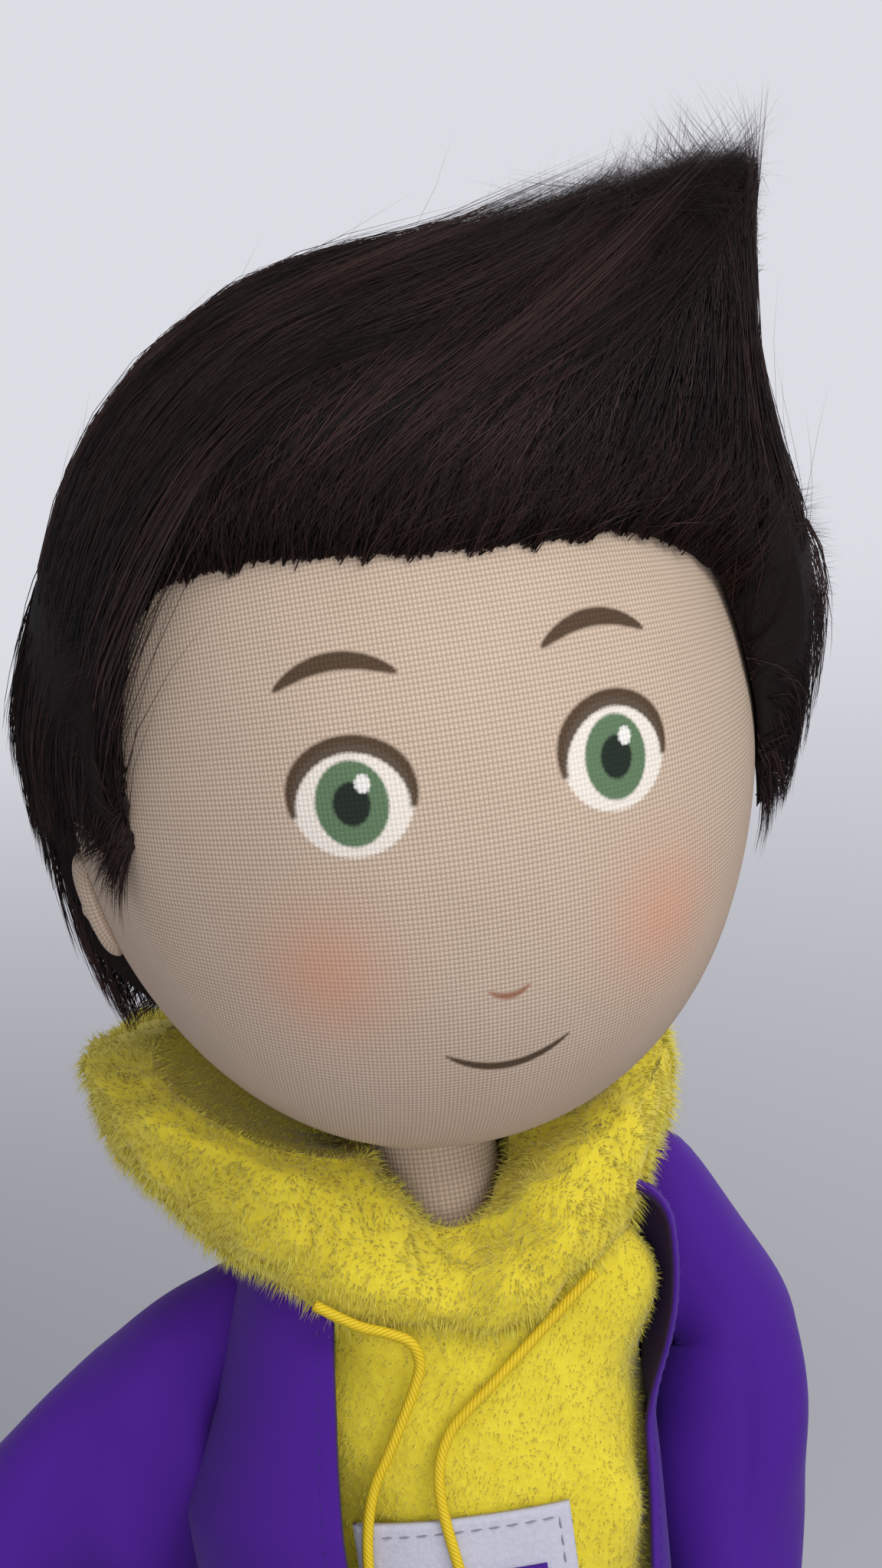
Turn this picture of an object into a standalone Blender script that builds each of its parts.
"""Standing cloth doll with swept hair, a plush hoodie, an open jacket, trousers and shoes.

Lengths are in millimetres and become metres when a mesh is made. The doll stands on the XY
plane, faces -Y and has its own left side at +X. A turn is an angle round an upright axis,
counted from the front towards the doll's left. A rise is an angle up from the head's equator.
"""

import math

import bmesh
import bpy
import numpy as np

MM = 0.001

# Clearances between pieces
GAP = 0.3
TURN_GAP = 0.6
HAIR_SEAT = 0.7

# Cloth thicknesses
COTTON = 1.0
PLUSH = 3.0
SLEEVE_PLUSH = 1.6
RIB_KNIT = 1.8
PATCH_CLOTH = 0.8

# Legs, trousers and shoes
HIP_HEIGHT = 128.0
HIP_SPREAD = 26.0
LEG_RADIUS = 10.0
KNEE_HEIGHT = 64.0
KNEE_RADIUS = 9.0
ANKLE_RADIUS = 7.5
TROUSER_EASE = 0.6
TROUSER_FOLD = 0.5
SHOE_LENGTH = 62.0
SHOE_WIDTH = 25.0
HEEL_BACK = 20.0
SOLE_THICKNESS = 5.0
SHOE_TOP = 27.0
SHOE_WALL = 2.0
SHOE_OPENING = 33.0
SHOE_TOE_SHARE = 0.09
SHOE_WAIST_SHARE = 0.05
SHOE_CORNER = 0.85
POCKET_ROOM = 5.0
SHOE_RINGS = (
    (0.0, 0.8, 0.0),
    (0.3, 0.4, 0.0),
    (0.55, 1.6, 9.0),
    (0.78, 2.4, 26.0),
    (1.0, 2.6, SHOE_LENGTH - SHOE_OPENING),
)

# Stuffed torso: rise above its base, width and depth of each station
TORSO_STATIONS = (
    (0.0, 36.0, 28.0),
    (7.0, 43.0, 36.0),
    (38.0, 41.0, 34.0),
    (79.0, 43.0, 36.0),
    (104.0, 40.0, 29.0),
    (109.0, 28.0, 22.0),
    (111.5, 18.0, 18.0),
)
TORSO_SQUARENESS = 2.4
WAISTBAND_RISE = 24.0

# Hoodie
HEM_RISE = 3.0
HEM_BAND = 9.0
HOODIE_NECK_RISE = 108.0
PATCH_WIDTH = 29.0
PATCH_HEIGHT = 27.0
PATCH_TOP = 217.0
PATCH_SHIFT = -3.0

# Jacket
JACKET_EASE = 0.6
JACKET_HEM_RISE = 8.0
JACKET_NECK_RISE = 105.0
JACKET_FLARE = 0.8
JACKET_FOLD = 0.9
JACKET_FOLDS = 9
JACKET_TENT = 6.0
JACKET_DRAPE = 6.0
JACKET_DRAPE_LEVELS = 0.45
JACKET_PRESS = 0.8
RIGHT_EDGE_TURN = 36.0
LEFT_EDGE_TURN = 46.0
LEFT_LAPEL_TURN = 66.0
SIDE_SEAM_TURN = 90.0
SIDE_SEAM_GAP = 0.6

# Arms and sleeves
SHOULDER_RISE = 96.0
SHOULDER_BACK = 4.0
ARM_RADIUS = 5.0
ELBOW_RADIUS = 4.8
WRIST_RADIUS = 4.3
ARM_LENGTH = 104.0
WRIST_AT = 80.0
HAND_WIDTH = 15.0
HAND_THICKNESS = 8.5
THUMB_RADIUS = 2.6
HAND_PLACES = (0.25, 0.5, 0.75, 0.92, 1.0)
HAND_SHARES = (0.85, 1.0, 0.9, 0.62, 0.3)
THUMB_SPAN = (0.12, 0.58)
THUMB_SHARES = (0.45, 0.9, 1.0, 0.85, 0.4)
THUMB_OUT = (0.55, 0.8, 0.98, 1.1, 1.16)
BEND_ROOM = 0.6
LEFT_ARM_ANGLE = 1.0
RIGHT_ARM_ANGLE = 50.0
ARM_ANGLE = {1: LEFT_ARM_ANGLE, -1: RIGHT_ARM_ANGLE}
HOODIE_SLEEVE_END = 72.0
CUFF_LENGTH = 6.0
JACKET_SLEEVE_END = 68.0
JACKET_SLEEVE_FLARE = 1.2
THREAD_RADIUS = 0.6
THREAD_IN_ARM = 9.0

# Neck and head
NECK_RADIUS = 8.4
NECK_SINK = 9.0
DOWEL_RADIUS = 2.2
DOWEL_IN_BODY = 40.0
DOWEL_IN_HEAD = 45.0
HEAD_WIDTH = 91.0
HEAD_DEPTH = 90.0
HEAD_HEIGHT = 110.0
HEAD_FULLNESS = 0.95
CHIN_HEIGHT = 264.5
HEAD_FORWARD = 8.0
HEAD_SIDE = 3.0
HEAD_TURN = 12.0
NECK_TURN_BACK = 42.0
NECK_TURN_ON = 18.0
EAR_TURN = 97.0
EAR_RISE = -17.0
EAR_WIDTH = 11.0
EAR_HEIGHT = 17.0
EAR_THICKNESS = 4.0
EAR_ROUND = 0.5
EAR_DOME = 0.8
POLE_RISE = 84.0

# Hair
HAIR_THICKNESS = 7.5
CROWN_THICKNESS = 9.4
HAIR_TAPER = (0.3, 1.3)
SWEPT_FULLNESS = 8.0
SWEPT_RISE = 21.0
SWEPT_SPREAD = 20.0
HAIRLINE_RISE = 28.0
TEMPLE_TURN = 62.0
SIDEBURN_RISE = {1: -20.0, -1: -12.0}
SIDEBURN_COLUMNS = {1: 4, -1: 3}
NAPE_RISE = -36.0
HAIR_SEAM = 1.0
CROWN_RISE = 86.0
QUIFF_ROOT = (35.3, -14.0, 46.8)
QUIFF_TIP = (56.7, -15.0, 72.1)
QUIFF_CREST = 44.0
QUIFF_DROP = 25.0
QUIFF_BREADTH = 33.0
QUIFF_POWER = 2.1

# Hood: radius and height above the neck line of its base, belly and rim, at each eighth of a turn
HOOD_STATIONS = (
    (20.0, -13.0, 28.0, -8.0, 16.0, -0.5),
    (22.0, -11.0, 32.0, -5.0, 25.0, 6.5),
    (23.0, -8.0, 33.0, 0.0, 33.0, 15.0),
    (23.0, -6.0, 43.0, 5.0, 45.0, 27.0),
    (23.0, -6.0, 48.0, 8.0, 51.0, 36.0),
    (23.0, -6.0, 49.0, 10.0, 51.0, 35.0),
    (23.0, -7.0, 46.0, 10.0, 47.0, 32.0),
    (22.0, -11.0, 34.0, -2.0, 31.0, 13.5),
)
HOOD_PLUSH = 9.0
HOOD_PLUSH_SHARE = 0.33
HOOD_EDGE_SHARE = 0.3
HOOD_SECTION_POINTS = 6
HOOD_EDGE_ROOM = 2.0

# Drawstrings: points from the hood's edge down the front of the hoodie
CORD_RADIUS = 0.75
CORD_KNOT_RADIUS = 1.7
CORD_STEP = 3.4
RIGHT_CORD = (
    (-18.2, -22.6, 248.5),
    (-12.8, -22.7, 244.8),
    (-6.6, -23.0, 242.0),
    (-5.8, -22.4, 237.5),
    (-10.4, -22.8, 228.5),
    (-14.4, -22.3, 221.0),
    (-16.2, -22.1, 211.0),
    (-15.5, -22.0, 200.0),
    (-14.5, -21.9, 189.0),
)
LEFT_CORD = (
    (19.0, -20.5, 247.0),
    (10.5, -21.2, 240.0),
    (3.0, -23.0, 234.0),
    (-2.8, -23.6, 229.0),
    (-5.3, -24.3, 222.0),
    (-4.1, -24.7, 210.0),
    (-2.0, -24.4, 199.5),
    (-1.5, -24.0, 189.0),
)

# Facets round each kind of piece
BODY_SIDES = 24
LIMB_SIDES = 12
BORE_SIDES = 12
HEAD_SIDES = 28
HOOD_SIDES = 28
HAIR_SIDES = 32

# Places that follow from the sizes above
TROUSER_IN = GAP + TROUSER_EASE
TROUSER_TOP_RADIUS = LEG_RADIUS + TROUSER_IN + COTTON
SEAT_BOTTOM = HIP_HEIGHT + TROUSER_TOP_RADIUS + TURN_GAP
TORSO_BASE = SEAT_BOTTOM + COTTON + GAP
NECK_LINE = TORSO_BASE + TORSO_STATIONS[-1][0]
SHOULDER_HEIGHT = TORSO_BASE + SHOULDER_RISE
HOODIE_IN = GAP + COTTON + GAP
HOODIE_OUT = HOODIE_IN + PLUSH
JACKET_IN = HOODIE_OUT + GAP + JACKET_EASE
JACKET_OUT = JACKET_IN + COTTON
HEAD_CENTRE = CHIN_HEIGHT + HEAD_HEIGHT / 2
SHOULDER_AXIS = np.array((0.0, SHOULDER_BACK, SHOULDER_HEIGHT))
HOODIE_SLEEVE_RADIUS = ARM_RADIUS + GAP + SLEEVE_PLUSH
JACKET_SLEEVE_RADIUS = HOODIE_SLEEVE_RADIUS + GAP + COTTON
ARM_BEND = JACKET_SLEEVE_RADIUS + BEND_ROOM


# Shared geometry

def signed_power(value, power):
    """Raise the size of a value to a power and keep its sign."""
    return np.sign(value) * np.abs(value) ** power


def points_of(x, y, z):
    """Join three coordinate arrays into one array of points."""
    return np.stack(np.broadcast_arrays(x, y, z), axis=-1)


def smooth_curve(stations, place):
    """Catmull-Rom curve through the stations, read at places counted in stations."""
    stations = np.asarray(stations, dtype=float)
    last = len(stations) - 1
    place = np.clip(np.asarray(place, dtype=float), 0.0, last)
    first = np.minimum(place.astype(int), last - 1)
    part = (place - first)[..., None]
    before = stations[np.maximum(first - 1, 0)]
    start = stations[first]
    end = stations[first + 1]
    after = stations[np.minimum(first + 2, last)]
    slope = end - before
    bend = 2.0 * before - 5.0 * start + 4.0 * end - after
    twist = 3.0 * (start - end) + after - before
    return start + 0.5 * part * (slope + part * (bend + part * twist))


def round_turns(sides):
    """Turns of the corners of a closed ring."""
    return np.linspace(0.0, 2.0 * math.pi, sides, endpoint=False)


def finish(name, colour, roughness):
    """Plain cloth, plush or wood finish."""
    material = bpy.data.materials.new(name)
    material.use_nodes = True
    shader = material.node_tree.nodes["Principled BSDF"]
    shader.inputs["Base Color"].default_value = (*colour, 1.0)
    shader.inputs["Roughness"].default_value = roughness
    shader.inputs["Metallic"].default_value = 0.0
    material.diffuse_color = (*colour, 1.0)
    return material


def pivot(name, place):
    """Empty on a joint's axis, which carries the pieces that move with it."""
    empty = bpy.data.objects.new(name, None)
    empty.location = np.asarray(place) * MM
    bpy.context.scene.collection.objects.link(empty)
    return empty


def add_piece(name, vertices, faces, material, carrier=None):
    """Closed mesh object with outward faces, placed under its carrier."""
    origin = np.zeros(3) if carrier is None else np.array(carrier.location) / MM
    mesh = bpy.data.meshes.new(name)
    places = (np.asarray(vertices, dtype=float).reshape(-1, 3) - origin) * MM
    mesh.from_pydata(places.tolist(), [], faces)
    shape = bmesh.new()
    shape.from_mesh(mesh)
    bmesh.ops.recalc_face_normals(shape, faces=shape.faces)
    shape.to_mesh(mesh)
    shape.free()
    mesh.shade_smooth()
    mesh.set_sharp_from_angle(angle=math.radians(40.0))
    piece = bpy.data.objects.new(name, mesh)
    piece.parent = carrier
    bpy.context.scene.collection.objects.link(piece)
    if material is None:
        piece.hide_render = True
        piece.display_type = "WIRE"
    else:
        mesh.materials.append(material)
    return piece


def loft(name, rings, material, carrier=None, closed=False):
    """Skin over rings of equal counts, with flat ends or joined end to end."""
    rings = np.asarray(rings, dtype=float)
    count, sides = rings.shape[:2]
    faces = []
    for ring in range(count if closed else count - 1):
        low = ring * sides
        high = (ring + 1) % count * sides
        for side in range(sides):
            beside = (side + 1) % sides
            faces.append((low + side, low + beside, high + beside, high + side))
    if not closed:
        faces.append(tuple(range(sides - 1, -1, -1)))
        faces.append(tuple((count - 1) * sides + side for side in range(sides)))
    return add_piece(name, rings, faces, material, carrier)


def slab(name, inner, outer, material, carrier=None):
    """Sheet of cloth between two grids of equal counts."""
    inner = np.asarray(inner, dtype=float)
    outer = np.asarray(outer, dtype=float)
    rows, columns = inner.shape[:2]
    step = rows * columns
    faces = []
    for row in range(rows - 1):
        for column in range(columns - 1):
            corner = row * columns + column
            patch = (corner, corner + 1, corner + columns + 1, corner + columns)
            faces.append(patch[::-1])
            faces.append(tuple(index + step for index in patch))
    bottom = list(range(columns))
    right = [row * columns + columns - 1 for row in range(1, rows)]
    top = [(rows - 1) * columns + column for column in range(columns - 2, -1, -1)]
    left = [row * columns for row in range(rows - 2, 0, -1)]
    border = bottom + right + top + left
    for here, beside in zip(border, border[1:] + border[:1]):
        faces.append((here, beside, beside + step, here + step))
    return add_piece(name, np.stack((inner, outer)), faces, material, carrier)


def rod(name, start, end, radius, sides, material, carrier=None, flats=False):
    """Straight round bar. With flats its faces, not its corners, lie at the radius."""
    start = np.asarray(start, dtype=float)
    end = np.asarray(end, dtype=float)
    along = (end - start) / np.linalg.norm(end - start)
    across = np.array((0.0, 1.0, 0.0)) if abs(along[1]) < 0.9 else np.array((1.0, 0.0, 0.0))
    beside = np.cross(along, across)
    turns = round_turns(sides)[:, None]
    reach = radius / math.cos(math.pi / sides) if flats else radius
    ring = reach * (np.cos(turns) * across + np.sin(turns) * beside)
    return loft(name, (start + ring, end + ring), material, carrier)


def block(name, low, high):
    """Box between two corners, for a cut."""
    left, front, bottom = low
    right, back, top = high
    outline = np.array(((left, front), (right, front), (right, back), (left, back)))
    rings = [np.column_stack((outline, np.full(4, height))) for height in (bottom, top)]
    return loft(name, rings, None)


def change(piece, tool, operation):
    """Boolean of a piece with a tool, which stays in the file as a wire guide."""
    modifier = piece.modifiers.new(operation.title() + "_" + tool.name, "BOOLEAN")
    modifier.operation = operation
    modifier.object = tool
    modifier.solver = "EXACT"
    tool.hide_render = True
    tool.display_type = "WIRE"


def cut(piece, *tools):
    """Take the tools out of a piece."""
    for tool in tools:
        change(piece, tool, "DIFFERENCE")


# The body's layered surface

def torso_point(level, turn):
    """Point on the stuffed torso at a level counted in stations."""
    rise, width, depth = np.moveaxis(smooth_curve(TORSO_STATIONS, level), -1, 0)
    power = 2.0 / TORSO_SQUARENESS
    x = width / 2 * signed_power(np.sin(turn), power)
    y = -depth / 2 * signed_power(np.cos(turn), power)
    return points_of(x, y, TORSO_BASE + rise)


def torso_layer(level, turn, lift):
    """Point at a height above the torso's skin, along the skin's normal."""
    level, turn, lift = np.broadcast_arrays(level, turn, lift)
    nudge = 1e-3
    last = len(TORSO_STATIONS) - 1
    upper = np.minimum(level + nudge, last)
    lower = np.maximum(level - nudge, 0.0)
    upward = torso_point(upper, turn) - torso_point(lower, turn)
    around = torso_point(level, turn + nudge) - torso_point(level, turn - nudge)
    normal = np.cross(around, upward)
    normal /= np.linalg.norm(normal, axis=-1, keepdims=True)
    return torso_point(level, turn) + lift[..., None] * normal


def level_at(rise):
    """Level, counted in stations, at a rise above the torso's base."""
    levels = np.linspace(0.0, len(TORSO_STATIONS) - 1, 600)
    rises = smooth_curve(TORSO_STATIONS, levels)[:, 0]
    return float(np.interp(rise, rises, levels))


def levels_between(low, high, count):
    """Levels spread evenly between two rises."""
    return np.linspace(level_at(low), level_at(high), count)[:, None]


def jacket_lift(level, turn, lift):
    """Height of the jacket above the skin, with its flare and folds.

    The left arm presses its side flat. The right arm lifts its side into a tent, which drapes wider below.
    """
    neck = level_at(JACKET_NECK_RISE)
    hang = np.clip((neck - level) / neck, 0.0, 1.0)
    ripple = 0.5 - 0.5 * np.cos(JACKET_FOLDS * turn)
    pressed = 1.0 - JACKET_PRESS * np.clip(np.sin(turn), 0.0, 1.0) ** 2
    armpit = level_at(SHOULDER_RISE - HOODIE_SLEEVE_RADIUS)
    tent = JACKET_TENT * np.clip((neck - level) / (neck - armpit), 0.0, 1.0)
    drape = JACKET_DRAPE * np.clip((armpit - level) / JACKET_DRAPE_LEVELS, 0.0, 1.0)
    lifted = (tent + drape) * np.clip(-np.sin(turn), 0.0, 1.0) ** 2
    return lift + pressed * hang * (JACKET_FLARE + JACKET_FOLD * ripple) + lifted


def jacket_point(level, turn, lift):
    """Point on the jacket at a height above the skin before its folds."""
    return torso_layer(level, turn, jacket_lift(level, turn, lift))


def plain_lift(level, turn, lift):
    """Height of a layer without folds."""
    return lift + 0.0 * level * turn


def side_reach(side, lift_function, lift, low, high):
    """Furthest that a layer reaches out to one side between two rises."""
    turn = side * np.radians(np.linspace(60.0, 120.0, 31))[None, :]
    levels = levels_between(low, high, 41)
    return float(np.abs(torso_layer(levels, turn, lift_function(levels, turn, lift))[..., 0]).max())


HOODIE_LEVELS = levels_between(HEM_RISE + HEM_BAND + GAP, HOODIE_NECK_RISE, 11)
JACKET_LEVELS = levels_between(JACKET_HEM_RISE, JACKET_NECK_RISE, 11)
HOOD_SEAT_ROW = 5
ARM_ROOT = side_reach(1, plain_lift, GAP, SHOULDER_RISE - ARM_RADIUS, SHOULDER_RISE + ARM_RADIUS)
HOODIE_SLEEVE_ROOT = side_reach(1, plain_lift, HOODIE_OUT + TURN_GAP, SHOULDER_RISE - HOODIE_SLEEVE_RADIUS,
                                SHOULDER_RISE + HOODIE_SLEEVE_RADIUS)
LEFT_PLANE = side_reach(1, jacket_lift, JACKET_OUT + TURN_GAP, JACKET_HEM_RISE, JACKET_NECK_RISE)
RIGHT_PLANE = side_reach(-1, jacket_lift, JACKET_OUT + TURN_GAP, SHOULDER_RISE - JACKET_SLEEVE_RADIUS,
                         JACKET_NECK_RISE)
SLEEVE_PLANE = {1: LEFT_PLANE, -1: RIGHT_PLANE}


# Arms follow a path that leaves the shoulder sideways and bends down

def arm_path(along, side):
    """Middle of the arm, and the direction square to it, at a distance from the sleeve plane."""
    along = np.asarray(along, dtype=float)
    bend = math.radians(90.0 - ARM_ANGLE[side])
    turned = np.clip(along / ARM_BEND, 0.0, bend)
    before = np.minimum(along, 0.0)
    after = np.maximum(along - ARM_BEND * bend, 0.0)
    x = before + ARM_BEND * np.sin(turned) + after * math.cos(bend)
    z = -ARM_BEND * (1.0 - np.cos(turned)) - after * math.sin(bend)
    middle = points_of(SLEEVE_PLANE[side] + x, SHOULDER_BACK, SHOULDER_HEIGHT + z)
    square = points_of(np.sin(turned), 0.0, np.cos(turned))
    return middle, square


def arm_rings(along, half_width, half_thickness, side):
    """Oval rings across the arm's path, on the doll's left for side 1 and right for -1."""
    middle, square = arm_path(along, side)
    turns = round_turns(LIMB_SIDES)[None, :, None]
    sideways = np.array((0.0, 1.0, 0.0))
    wide = np.asarray(half_width, dtype=float)[:, None, None] * np.cos(turns) * sideways
    thick = np.asarray(half_thickness, dtype=float)[:, None, None] * np.sin(turns)
    rings = middle[:, None, :] + wide + thick * square[:, None, :]
    return rings * np.array((side, 1.0, 1.0))


def arm_radius(along):
    """Radius of the stuffed arm from the shoulder to the wrist."""
    return np.interp(along, (0.0, 0.5 * WRIST_AT, WRIST_AT), (ARM_RADIUS, ELBOW_RADIUS, WRIST_RADIUS))


def bend_end(side):
    """Distance along the arm at which its bend ends."""
    return ARM_BEND * math.radians(90.0 - ARM_ANGLE[side])


def sleeve_places(side, start, end):
    """Places of a sleeve's rings, close together round the bend."""
    bend = bend_end(side)
    return np.concatenate(((start,), np.linspace(0.0, bend, 5), np.linspace(bend, end, 4)[1:]))


def sleeve(name, places, inner, outer, side, material, carrier):
    """Tube of cloth round the arm between an inner and an outer radius."""
    outside = arm_rings(places, outer, outer, side)
    inside = arm_rings(places, inner, inner, side)
    loft(name, np.concatenate((outside, inside[::-1])), material, carrier, closed=True)


def build_arm(side, word, cloth, plush, cotton, carrier):
    """Stuffed arm with a mitten hand, its plush sleeve and cuff, and its jacket sleeve."""
    bend = bend_end(side)
    root = ARM_ROOT - SLEEVE_PLANE[side]
    hand = ARM_LENGTH - WRIST_AT
    along = np.concatenate(((root,), np.linspace(0.0, bend, 5), (0.5 * WRIST_AT, WRIST_AT)))
    fingers = WRIST_AT + hand * np.array(HAND_PLACES)
    palm = np.array(HAND_SHARES) / 2
    wide = np.concatenate((arm_radius(along), HAND_WIDTH * palm))
    thick = np.concatenate((arm_radius(along), HAND_THICKNESS * palm))
    arm = loft("arm_" + word, arm_rings(np.concatenate((along, fingers)), wide, thick, side), cloth, carrier)

    thumb_along = WRIST_AT + hand * np.linspace(*THUMB_SPAN, len(THUMB_SHARES))
    swell = THUMB_RADIUS * np.array(THUMB_SHARES)
    thumb_rings = arm_rings(thumb_along, swell, swell, side)
    outward = HAND_WIDTH / 2 * np.array(THUMB_OUT)
    thumb_rings[..., 1] -= outward[:, None]
    change(arm, loft("thumb_tool_" + word, thumb_rings, None, carrier), "UNION")

    bore_start = SHOULDER_AXIS + (side * (ARM_ROOT - THREAD_IN_ARM), 0.0, 0.0)
    bore_end = SHOULDER_AXIS + (side * (ARM_ROOT + THREAD_IN_ARM + GAP), 0.0, 0.0)
    cut(arm, rod("arm_bore_" + word, bore_start, bore_end, THREAD_RADIUS + TURN_GAP, BORE_SIDES, None,
                 carrier, flats=True))

    places = sleeve_places(side, HOODIE_SLEEVE_ROOT - SLEEVE_PLANE[side], HOODIE_SLEEVE_END)
    inner = arm_radius(places) + GAP
    sleeve("hoodie_sleeve_" + word, places, inner, inner + SLEEVE_PLUSH, side, plush, carrier)

    places = HOODIE_SLEEVE_END + GAP + CUFF_LENGTH * np.array((0.0, 0.5, 1.0))
    inner = arm_radius(places) + GAP
    swell = RIB_KNIT * np.array((0.75, 1.0, 0.75))
    sleeve("hoodie_cuff_" + word, places, inner, inner + swell, side, plush, carrier)

    places = sleeve_places(side, 0.0, JACKET_SLEEVE_END)[1:]
    flare = JACKET_SLEEVE_FLARE * np.clip((places - bend) / (JACKET_SLEEVE_END - bend), 0.0, 1.0)
    inner = arm_radius(places) + GAP + SLEEVE_PLUSH + GAP + flare
    sleeve("jacket_sleeve_" + word, places, inner, inner + COTTON, side, cotton, carrier)


# Legs, trousers and shoes

def leg_rings(heights, radii, side):
    """Round rings of a leg, its trouser or its shoe opening."""
    turns = round_turns(LIMB_SIDES)[None, :]
    radii = np.asarray(radii, dtype=float)
    radii = radii[:, None] if radii.ndim == 1 else radii
    x = side * HIP_SPREAD / 2 + radii * np.sin(turns)
    y = -radii * np.cos(turns)
    return points_of(x, y, np.asarray(heights, dtype=float)[:, None])


def leg_profile(top_radius, lift):
    """Heights and radii down a leg from the dome at the hip to the trouser hem."""
    dome = np.radians((80.0, 58.0, 34.0, 0.0))
    heights = np.concatenate((HIP_HEIGHT + top_radius * np.sin(dome), (KNEE_HEIGHT, SHOE_TOP + GAP)))
    radii = np.concatenate((top_radius * np.cos(dome), (KNEE_RADIUS + lift, ANKLE_RADIUS + lift)))
    return heights, radii


def shoe_outline(inset, length_cut=0.0):
    """Rounded shoe outline about the leg's middle, drawn in by an inset."""
    turns = round_turns(2 * LIMB_SIDES)
    half = SHOE_LENGTH / 2 - inset - length_cut / 2
    middle = HEEL_BACK - SHOE_LENGTH / 2 + length_cut / 2
    waist = 1.0 - SHOE_TOE_SHARE * np.cos(turns + 0.6) - SHOE_WAIST_SHARE * np.cos(2.0 * turns)
    x = (SHOE_WIDTH / 2 - inset) * signed_power(np.sin(turns), SHOE_CORNER) * waist
    y = middle - half * signed_power(np.cos(turns), SHOE_CORNER)
    return np.clip(x, -SHOE_WIDTH / 2 + inset, SHOE_WIDTH / 2 - inset), y


def build_leg(side, word, cloth, cotton, leather, rubber, carrier):
    """Stuffed leg, its trouser leg, and the upper and sole of its shoe."""
    leg_bottom = SOLE_THICKNESS + GAP + SHOE_WALL + GAP
    heights, radii = leg_profile(LEG_RADIUS, 0.0)
    heights = np.append(heights, leg_bottom)
    radii = np.append(radii, ANKLE_RADIUS)
    loft("leg_" + word, leg_rings(heights, radii, side), cloth, carrier)

    in_heights, in_radii = leg_profile(LEG_RADIUS + TROUSER_IN, TROUSER_IN)
    out_heights, out_radii = leg_profile(TROUSER_TOP_RADIUS, TROUSER_IN + COTTON)
    turns = round_turns(LIMB_SIDES)[None, :]
    hang = np.clip((HIP_HEIGHT - out_heights) / HIP_HEIGHT, 0.0, 1.0)[:, None]
    fold = TROUSER_FOLD * hang * (1.0 - np.cos(3.0 * turns))
    outer = leg_rings(out_heights, out_radii[:, None] + fold, side)
    inner = leg_rings(in_heights, in_radii[:, None] + fold, side)
    loft("trouser_leg_" + word, np.concatenate((outer, inner[::-1])), cotton, carrier)

    middle = side * HIP_SPREAD / 2
    x, y = shoe_outline(0.0)
    soles = [points_of(middle + x, y, height) for height in (0.0, SOLE_THICKNESS)]
    loft("shoe_sole_" + word, soles, rubber, carrier)

    base = SOLE_THICKNESS + GAP
    climb = SHOE_TOP - base
    rings = []
    for share, inset, shorter in SHOE_RINGS:
        x, y = shoe_outline(inset, shorter)
        rings.append(points_of(middle + x, y, base + share * climb))
    upper = loft("shoe_upper_" + word, rings, leather, carrier)
    pocket_top = SHOE_TOP + POCKET_ROOM
    pocket = rod("shoe_pocket_" + word, (middle, 0.0, base + SHOE_WALL), (middle, 0.0, pocket_top),
                 ANKLE_RADIUS + GAP, LIMB_SIDES, None, carrier, flats=True)
    cut(upper, pocket)


# Torso, neck and the parts inside them

def build_body(cloth, wood, thread):
    """Stuffed torso and neck, the dowel that stiffens the neck and the arm thread."""
    turns = round_turns(BODY_SIDES)[None, :]
    levels = np.linspace(0.0, len(TORSO_STATIONS) - 1, 2 * len(TORSO_STATIONS) - 1)[:, None]
    torso = loft("torso", torso_layer(levels, turns, 0.0), cloth)
    dowel_foot = NECK_LINE - DOWEL_IN_BODY
    dowel_head = CHIN_HEIGHT + DOWEL_IN_HEAD
    rod("neck_dowel", (0.0, 0.0, dowel_foot), (0.0, 0.0, dowel_head), DOWEL_RADIUS, BORE_SIDES, wood)
    body_bore = rod("dowel_bore", (0.0, 0.0, dowel_foot - GAP), (0.0, 0.0, CHIN_HEIGHT + DOWEL_IN_HEAD),
                    DOWEL_RADIUS + GAP, BORE_SIDES, None, flats=True)
    reach = ARM_ROOT + THREAD_IN_ARM
    left = np.array((reach, SHOULDER_BACK, SHOULDER_HEIGHT))
    right = left * np.array((-1.0, 1.0, 1.0))
    rod("shoulder_thread", right, left, THREAD_RADIUS, 8, thread)
    thread_bore = rod("thread_bore", right, left, THREAD_RADIUS + GAP, BORE_SIDES, None, flats=True)
    cut(torso, body_bore, thread_bore)

    neck_top = CHIN_HEIGHT + NECK_SINK
    neck = rod("neck", (0.0, 0.0, NECK_LINE + GAP), (0.0, 0.0, neck_top), NECK_RADIUS, 20, cloth)
    cut(neck, body_bore)


def build_trouser_seat(cotton):
    """Seat of the trousers, a cup round the torso's base with a waistband edge."""
    turns = round_turns(BODY_SIDES)[None, :]
    last = level_at(WAISTBAND_RISE)
    levels = np.concatenate((np.arange(0.0, last, 0.5), (last,)))[:, None]
    outer = torso_layer(levels, turns, GAP + COTTON)
    inner = torso_layer(levels, turns, GAP)
    outer[0, :, 2] = SEAT_BOTTOM
    inner[0, :, 2] = TORSO_BASE - GAP
    loft("trousers_seat", np.concatenate((outer, inner[::-1])), cotton)


# Hoodie

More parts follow.
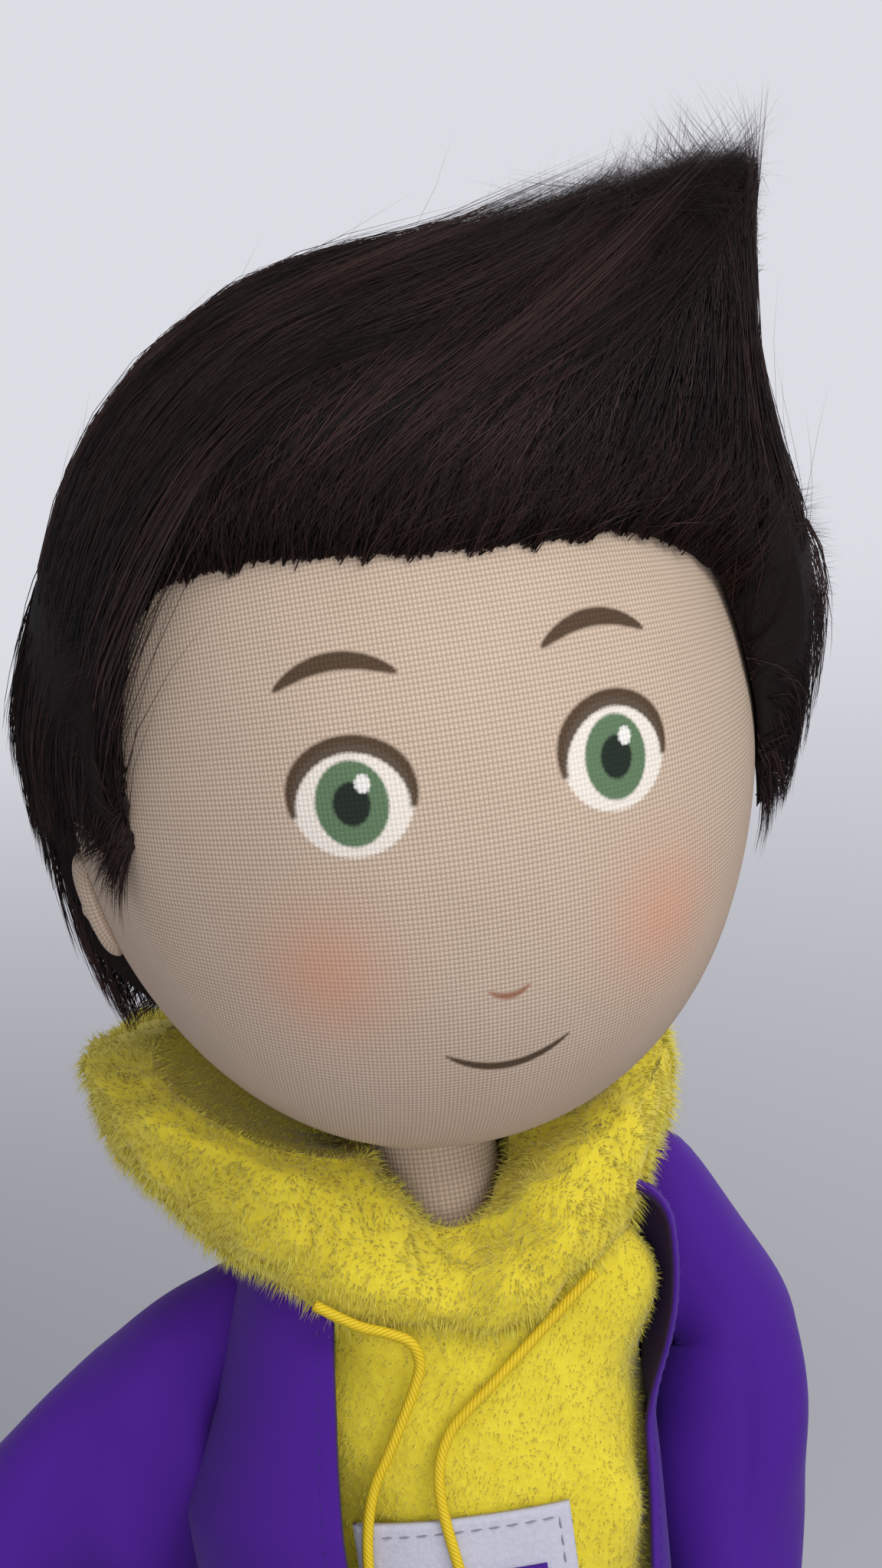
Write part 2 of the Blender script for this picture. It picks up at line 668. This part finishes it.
def build_hoodie(plush, rib, patch_cloth):
    """Plush hoodie body with armholes, its hem band and its chest patch."""
    turns = round_turns(BODY_SIDES)[None, :]
    band_top = HEM_RISE + HEM_BAND
    outer = torso_layer(HOODIE_LEVELS, turns, HOODIE_OUT)
    inner = torso_layer(HOODIE_LEVELS, turns, HOODIE_IN)
    body = loft("hoodie_body", np.concatenate((outer, inner[::-1])), plush, closed=True)
    axis = SHOULDER_AXIS
    out = np.array((2.0 * max(SLEEVE_PLANE.values()), 0.0, 0.0))
    cut(body, rod("hoodie_armholes", axis - out, axis + out, ARM_RADIUS + TURN_GAP, BORE_SIDES,
                  None, flats=True))

    levels = levels_between(HEM_RISE, band_top, 3)
    swell = RIB_KNIT * np.array((0.8, 1.0, 0.8))[:, None]
    outer = torso_layer(levels, turns, HOODIE_IN + swell)
    inner = torso_layer(levels, turns, HOODIE_IN)
    loft("hoodie_hem", np.concatenate((outer, inner[::-1])), rib, closed=True)

    across = PATCH_SHIFT + PATCH_WIDTH * np.linspace(-0.5, 0.5, 7)[None, :]
    heights = np.linspace(PATCH_TOP - PATCH_HEIGHT, PATCH_TOP, 5)[:, None]
    inner = on_chest(across, heights, HOODIE_OUT + GAP)
    outer = on_chest(across, heights, HOODIE_OUT + GAP + PATCH_CLOTH)
    slab("chest_patch", inner, outer, patch_cloth)


def on_chest(x, height, lift):
    """Point on the front of the body at a sideways place and height, above the skin."""
    x, height, lift = np.broadcast_arrays(x, height, lift)
    levels = np.linspace(0.0, len(TORSO_STATIONS) - 1, 600)
    rise, width, depth = smooth_curve(TORSO_STATIONS, levels).T
    half_width = np.interp(height - TORSO_BASE, rise, width) / 2 + lift
    half_depth = np.interp(height - TORSO_BASE, rise, depth) / 2 + lift
    share = np.clip(np.abs(x) / half_width, 0.0, 1.0)
    y = -half_depth * (1.0 - share ** TORSO_SQUARENESS) ** (1.0 / TORSO_SQUARENESS)
    return points_of(x, y, height)


def hood_section(stations, count):
    """Closed outline of the hood's roll, from its base round the belly to the rim and back."""
    base, belly, rim = stations[..., 0:2], stations[..., 2:4], stations[..., 4:6]
    share = np.linspace(0.0, 1.0, count)[:, None, None]
    outside = (1 - share) ** 2 * base + 2 * share * (1 - share) * belly + share ** 2 * rim
    along = 2 * (1 - share) * (belly - base) + 2 * share * (rim - belly)
    inward = np.stack((-along[..., 1], along[..., 0]), axis=-1)
    inward /= np.linalg.norm(inward, axis=-1, keepdims=True)
    chord = np.linalg.norm(rim - base, axis=-1)[None, :, None]
    fullness = HOOD_EDGE_SHARE + (1.0 - HOOD_EDGE_SHARE) * np.sin(math.pi * share) ** 0.7
    plush = np.minimum(HOOD_PLUSH, HOOD_PLUSH_SHARE * chord) * fullness
    inside = outside + inward * plush
    return np.concatenate((outside, inside[::-1]))


def build_hood(plush):
    """Hood lying open round the neck, cut clear of the clothes and of the turning head."""
    stations = np.array(HOOD_STATIONS)
    stations = np.concatenate((stations[-2:], stations, stations[:3]))
    place = 2.0 + np.linspace(0.0, len(HOOD_STATIONS), HOOD_SIDES, endpoint=False)
    section = hood_section(smooth_curve(stations, place), HOOD_SECTION_POINTS)
    turns = round_turns(HOOD_SIDES)[None, :]
    x = section[..., 0] * np.sin(turns)
    y = -section[..., 0] * np.cos(turns)
    hood = loft("hood", points_of(x, y, NECK_LINE + section[..., 1]), plush, closed=True)

    body_turns = round_turns(BODY_SIDES)[None, :]
    over_hoodie = torso_layer(HOODIE_LEVELS[HOOD_SEAT_ROW:], body_turns, HOODIE_OUT + GAP)
    collar = points_of((NECK_RADIUS + GAP) * np.sin(body_turns), -(NECK_RADIUS + GAP) * np.cos(body_turns),
                       np.array((over_hoodie[-1, :, 2].mean() + GAP, CHIN_HEIGHT + HEAD_HEIGHT))[:, None])
    under = loft("hood_seat_tool", np.concatenate((over_hoodie, collar)), None)

    edge_turns = np.linspace(LEFT_EDGE_TURN - HOOD_EDGE_ROOM, 360.0 + HOOD_EDGE_ROOM - RIGHT_EDGE_TURN, 61)
    edge_turns = np.radians(edge_turns)[None, :]
    levels = np.append(JACKET_LEVELS[HOOD_SEAT_ROW:], [[level_at(JACKET_NECK_RISE + 2.0 * GAP)]], axis=0)
    low = torso_layer(levels, edge_turns, HOODIE_OUT - GAP)
    high = jacket_point(levels, edge_turns, JACKET_OUT + 3.0 * GAP)
    over = slab("hood_jacket_tool", low, high, None)
    cut(hood, over, under, head_sweep())
    reach = np.array((2.0 * max(SLEEVE_PLANE.values()), 0.0, 0.0))
    cut(hood, rod("hood_sleeve_tool", SHOULDER_AXIS - reach, SHOULDER_AXIS + reach,
                  HOODIE_SLEEVE_RADIUS + TURN_GAP, BORE_SIDES, None, flats=True))
    sleeve_top = SHOULDER_HEIGHT + JACKET_SLEEVE_RADIUS + TURN_GAP
    for side, word in ((1, "left"), (-1, "right")):
        edge = sorted((side * (SLEEVE_PLANE[side] - TURN_GAP), side * 2.0 * SLEEVE_PLANE[side]))
        cut(hood, block("hood_arm_tool_" + word, (edge[0], -HEAD_DEPTH, SHOULDER_HEIGHT - HEAD_DEPTH),
                        (edge[1], HEAD_DEPTH, sleeve_top)))


# Head

def turned_with_head(points):
    """Turn points about the neck's axis to where the head looks."""
    angle = math.radians(HEAD_TURN)
    x = points[..., 0] * math.cos(angle) - points[..., 1] * math.sin(angle)
    y = points[..., 0] * math.sin(angle) + points[..., 1] * math.cos(angle)
    return points_of(x, y, points[..., 2])


def head_local(turn, rise, lift):
    """Point above the head's cloth before the head is turned."""
    waist = np.cos(rise) ** HEAD_FULLNESS
    x = HEAD_SIDE + (HEAD_WIDTH / 2 + lift) * np.sin(turn) * waist
    y = -HEAD_FORWARD - (HEAD_DEPTH / 2 + lift) * np.cos(turn) * waist
    return points_of(x, y, HEAD_CENTRE + (HEAD_HEIGHT / 2 + lift) * np.sin(rise))


def head_point(turn, rise, lift):
    """Point above the cloth of the turned head."""
    return turned_with_head(head_local(turn, rise, lift))


def head_sweep():
    """Space that the head and its hair take up as the neck turns."""
    turns = np.radians(np.linspace(0.0, 360.0, 121))[:-1]
    bearings = round_turns(HOOD_SIDES) + math.pi / HOOD_SIDES
    swing = np.radians(np.linspace(-NECK_TURN_BACK, NECK_TURN_ON, 21))
    rises = np.radians(np.linspace(-86.0, 10.0, 22))
    rings = []
    for rise in rises:
        haired = rise > math.radians(NAPE_RISE - 4.0)
        outline = head_point(turns, rise, HAIR_THICKNESS if haired else 0.0)
        radius = np.hypot(outline[:, 0], outline[:, 1])
        bearing = np.arctan2(outline[:, 0], -outline[:, 1])
        order = np.argsort(bearing)
        turned = bearings[:, None] - swing[None, :]
        reach = np.interp(turned, bearing[order], radius[order], period=2.0 * math.pi).max(axis=1)
        reach += TURN_GAP
        rings.append(points_of(reach * np.sin(bearings), -reach * np.cos(bearings), outline[0, 2]))
    return loft("head_sweep_tool", rings, None)


def build_head(cloth, carrier):
    """Stuffed head with a pocket for the neck, and its two ears."""
    turns = round_turns(HEAD_SIDES)[None, :]
    rises = np.radians(np.linspace(-POLE_RISE, POLE_RISE, 15))[:, None]
    head = loft("head", head_point(turns, rises, 0.0), cloth, carrier)
    pocket_top = CHIN_HEIGHT + NECK_SINK + TURN_GAP
    below = CHIN_HEIGHT - NECK_SINK
    pocket = rod("neck_pocket", (0.0, 0.0, below), (0.0, 0.0, pocket_top), NECK_RADIUS + TURN_GAP, 20,
                 None, carrier, flats=True)
    bore_top = CHIN_HEIGHT + DOWEL_IN_HEAD + TURN_GAP
    bore = rod("head_bore", (0.0, 0.0, below), (0.0, 0.0, bore_top), DOWEL_RADIUS + TURN_GAP, BORE_SIDES,
               None, carrier, flats=True)
    cut(head, pocket, bore)

    for side, word in ((1, "left"), (-1, "right")):
        across = np.linspace(-1.0, 1.0, 7)[None, :]
        upward = np.linspace(-1.0, 1.0, 8)[:, None]
        round_off = np.sqrt(1.0 - EAR_ROUND * across ** 2)
        half_turn = EAR_WIDTH / HEAD_DEPTH * np.sqrt(1.0 - EAR_ROUND * upward ** 2)
        turn = side * (math.radians(EAR_TURN) + half_turn * across)
        rise = math.radians(EAR_RISE) + EAR_HEIGHT / HEAD_HEIGHT * upward * round_off
        dome = np.sqrt((1.0 - EAR_DOME * across ** 2) * (1.0 - EAR_DOME * upward ** 2))
        inner = head_point(turn, rise, GAP)
        outer = head_point(turn, rise, GAP + EAR_THICKNESS * dome)
        slab("ear_" + word, inner, outer, cloth, carrier)


# Hair

def quiff(points):
    """Draw the crown's surface out into the swept tip above the doll's left temple."""
    middle = np.array((HEAD_SIDE, -HEAD_FORWARD, HEAD_CENTRE))
    root = middle + np.array(QUIFF_ROOT)
    sweep = np.array(QUIFF_TIP) - np.array(QUIFF_ROOT)
    crest = np.array((-QUIFF_ROOT[2], 0.0, QUIFF_ROOT[0]))
    crest /= np.linalg.norm(crest)
    away = points - root
    up_crest = away @ crest
    beside = np.linalg.norm(away - up_crest[..., None] * crest, axis=-1)
    length = np.where(up_crest > 0.0, QUIFF_CREST, QUIFF_DROP)
    distance = np.hypot(up_crest / length, beside / QUIFF_BREADTH)
    pull = np.clip(1.0 - distance, 0.0, 1.0) ** QUIFF_POWER
    return points + pull[..., None] * sweep


def swept_lift(turn, rise):
    """Extra thickness of the hair over the doll's left temple, where it is swept together."""
    away = (np.degrees(rise) - SWEPT_RISE) / SWEPT_SPREAD
    return SWEPT_FULLNESS * np.clip(np.sin(turn), 0.0, 1.0) ** 2 * np.exp(-away ** 2)


def build_hair(fibre, carrier):
    """Fibre hair in four sewn pieces: the crown with its quiff, two sides and the back."""
    turns = round_turns(HAIR_SIDES)[None, :]
    share = np.linspace(0.0, 1.0, 9)[:, None]
    rise = np.radians(HAIRLINE_RISE + share * (CROWN_RISE - HAIRLINE_RISE)) + 0.0 * turns
    lift = HAIR_THICKNESS + (CROWN_THICKNESS - HAIR_THICKNESS) * share + swept_lift(turns, rise)
    inner = head_point(turns, rise, HAIR_SEAT)
    outer = turned_with_head(quiff(head_local(turns, rise, lift)))
    loft("hair_top", np.concatenate((outer[::-1], inner)), fibre, carrier)

    seam = HAIRLINE_RISE - HAIR_SEAM
    ear_edge = EAR_TURN + math.degrees(EAR_WIDTH / HEAD_DEPTH) + HAIR_SEAM
    over_ear = EAR_RISE + math.degrees(EAR_HEIGHT / HEAD_HEIGHT) + HAIR_SEAM
    for side, word in ((1, "left"), (-1, "right")):
        columns = np.linspace(TEMPLE_TURN, ear_edge - HAIR_SEAM, 7)
        lowest = np.full(7, over_ear)
        lowest[1:SIDEBURN_COLUMNS[side]] = SIDEBURN_RISE[side]
        hair_patch("hair_side_" + word, side * columns, lowest, seam, fibre, carrier)
    columns = np.linspace(ear_edge, 360.0 - ear_edge, 15)
    hair_patch("hair_back", columns, np.full(15, NAPE_RISE), seam, fibre, carrier)


def hair_patch(name, columns, lowest, highest, fibre, carrier):
    """Sewn piece of hair between a lower edge that varies and a straight upper seam."""
    share = np.linspace(0.0, 1.0, 8)[:, None]
    turn = np.radians(columns)[None, :] + 0.0 * share
    rise = np.radians(lowest[None, :] + share * (highest - lowest[None, :]))
    least, growth = HAIR_TAPER
    lift = HAIR_THICKNESS * np.clip(least + growth * share, 0.0, 1.0) + swept_lift(turn, rise)
    outer = turned_with_head(quiff(head_local(turn, rise, lift)))
    slab(name, head_point(turn, rise, HAIR_SEAT), outer, fibre, carrier)


# Jacket

def build_jacket(cotton):
    """Open jacket: a back panel and two fronts that stop at their opening edges."""
    axis = SHOULDER_AXIS
    out = np.array((2.0 * max(SLEEVE_PLANE.values()), 0.0, 0.0))
    armholes = rod("jacket_armholes", axis - out, axis + out, HOODIE_SLEEVE_RADIUS + TURN_GAP, BORE_SIDES,
                   None, flats=True)
    front_seam = SIDE_SEAM_TURN - SIDE_SEAM_GAP
    back_seam = SIDE_SEAM_TURN + SIDE_SEAM_GAP
    panels = (
        ("jacket_back", back_seam, back_seam, 360.0 - back_seam, 21),
        ("jacket_front_left", LEFT_EDGE_TURN, LEFT_LAPEL_TURN, front_seam, 8),
        ("jacket_front_right", -RIGHT_EDGE_TURN, -RIGHT_EDGE_TURN, -front_seam, 9),
    )
    levels = JACKET_LEVELS
    fold_back = np.clip((levels - levels[5]) / (levels[-1] - levels[5]), 0.0, 1.0)
    for name, low_edge, high_edge, seam_turn, count in panels:
        edge = low_edge + (high_edge - low_edge) * fold_back
        turns = np.radians(edge + (seam_turn - edge) * np.linspace(0.0, 1.0, count)[None, :])
        inner = jacket_point(levels, turns, JACKET_IN)
        outer = jacket_point(levels, turns, JACKET_OUT)
        cut(slab(name, inner, outer, cotton), armholes)


# Drawstrings

def cord_points(route):
    """Middle points of a cord, in even steps along a smooth curve through its route."""
    path = smooth_curve(route, np.linspace(0.0, len(route) - 1, 400))
    travelled = np.concatenate(((0.0,), np.cumsum(np.linalg.norm(np.diff(path, axis=0), axis=1))))
    count = int(round(travelled[-1] / CORD_STEP)) + 1
    places = np.linspace(0.0, travelled[-1], count)
    return np.stack([np.interp(places, travelled, path[:, axis]) for axis in range(3)], axis=-1)


def build_cord(word, route, fibre):
    """Drawstring that hangs from the hood's edge, and the knot at its end."""
    points = cord_points(route)
    curve = bpy.data.curves.new("drawstring_" + word, "CURVE")
    curve.dimensions = "3D"
    curve.bevel_depth = CORD_RADIUS * MM
    curve.bevel_resolution = 1
    curve.use_fill_caps = True
    spline = curve.splines.new("POLY")
    spline.points.add(len(points) - 1)
    for point, place in zip(spline.points, points * MM):
        point.co = (*place, 1.0)
    curve.materials.append(fibre)
    cord = bpy.data.objects.new("drawstring_" + word, curve)
    bpy.context.scene.collection.objects.link(cord)

    along = points[-1] - points[-2]
    along /= np.linalg.norm(along)
    start = points[-1] + along * GAP
    rings = []
    across = np.cross(along, (0.0, 1.0, 0.0))
    across /= np.linalg.norm(across)
    beside = np.cross(along, across)
    turns = round_turns(10)[:, None]
    for share in np.linspace(-0.9, 0.9, 6):
        radius = CORD_KNOT_RADIUS * math.sqrt(1.0 - share ** 2)
        middle = start + along * CORD_KNOT_RADIUS * 1.25 * (share + 0.9)
        rings.append(middle + radius * (np.cos(turns) * across + np.sin(turns) * beside))
    loft("drawstring_knot_" + word, rings, fibre)


def main():
    """Clear the scene and build the doll from the body outwards."""
    for leftover in list(bpy.data.objects):
        bpy.data.objects.remove(leftover, do_unlink=True)

    skin = finish("skin_cotton", (0.62, 0.42, 0.28), 0.9)
    hair = finish("brown_fibre_hair", (0.035, 0.018, 0.016), 0.55)
    plush = finish("yellow_plush", (0.80, 0.62, 0.03), 0.95)
    rib = finish("yellow_rib_knit", (0.76, 0.52, 0.02), 0.9)
    cord = finish("yellow_cord", (0.70, 0.42, 0.01), 0.8)
    jacket = finish("purple_cotton", (0.09, 0.016, 0.32), 0.8)
    patch = finish("grey_felt", (0.48, 0.47, 0.55), 0.9)
    denim = finish("dark_trouser_cotton", (0.03, 0.035, 0.06), 0.85)
    upper = finish("grey_shoe_cloth", (0.12, 0.12, 0.13), 0.7)
    rubber = finish("white_sole_rubber", (0.75, 0.74, 0.70), 0.6)
    wood = finish("beech_dowel", (0.58, 0.38, 0.20), 0.6)
    thread = finish("nylon_thread", (0.75, 0.72, 0.66), 0.5)

    head_pivot = pivot("neck_pivot", (0.0, 0.0, CHIN_HEIGHT))
    build_body(skin, wood, thread)
    build_trouser_seat(denim)
    build_hoodie(plush, rib, patch)
    build_jacket(jacket)
    build_hood(plush)
    build_head(skin, head_pivot)
    build_hair(hair, head_pivot)
    build_cord("right", RIGHT_CORD, cord)
    build_cord("left", LEFT_CORD, cord)
    for side, word in ((1, "left"), (-1, "right")):
        shoulder = pivot("shoulder_pivot_" + word, SHOULDER_AXIS + (side * ARM_ROOT, 0.0, 0.0))
        build_arm(side, word, skin, plush, jacket, shoulder)
        hip = pivot("hip_pivot_" + word, (side * HIP_SPREAD / 2, 0.0, HIP_HEIGHT))
        build_leg(side, word, skin, denim, upper, rubber, hip)


main()
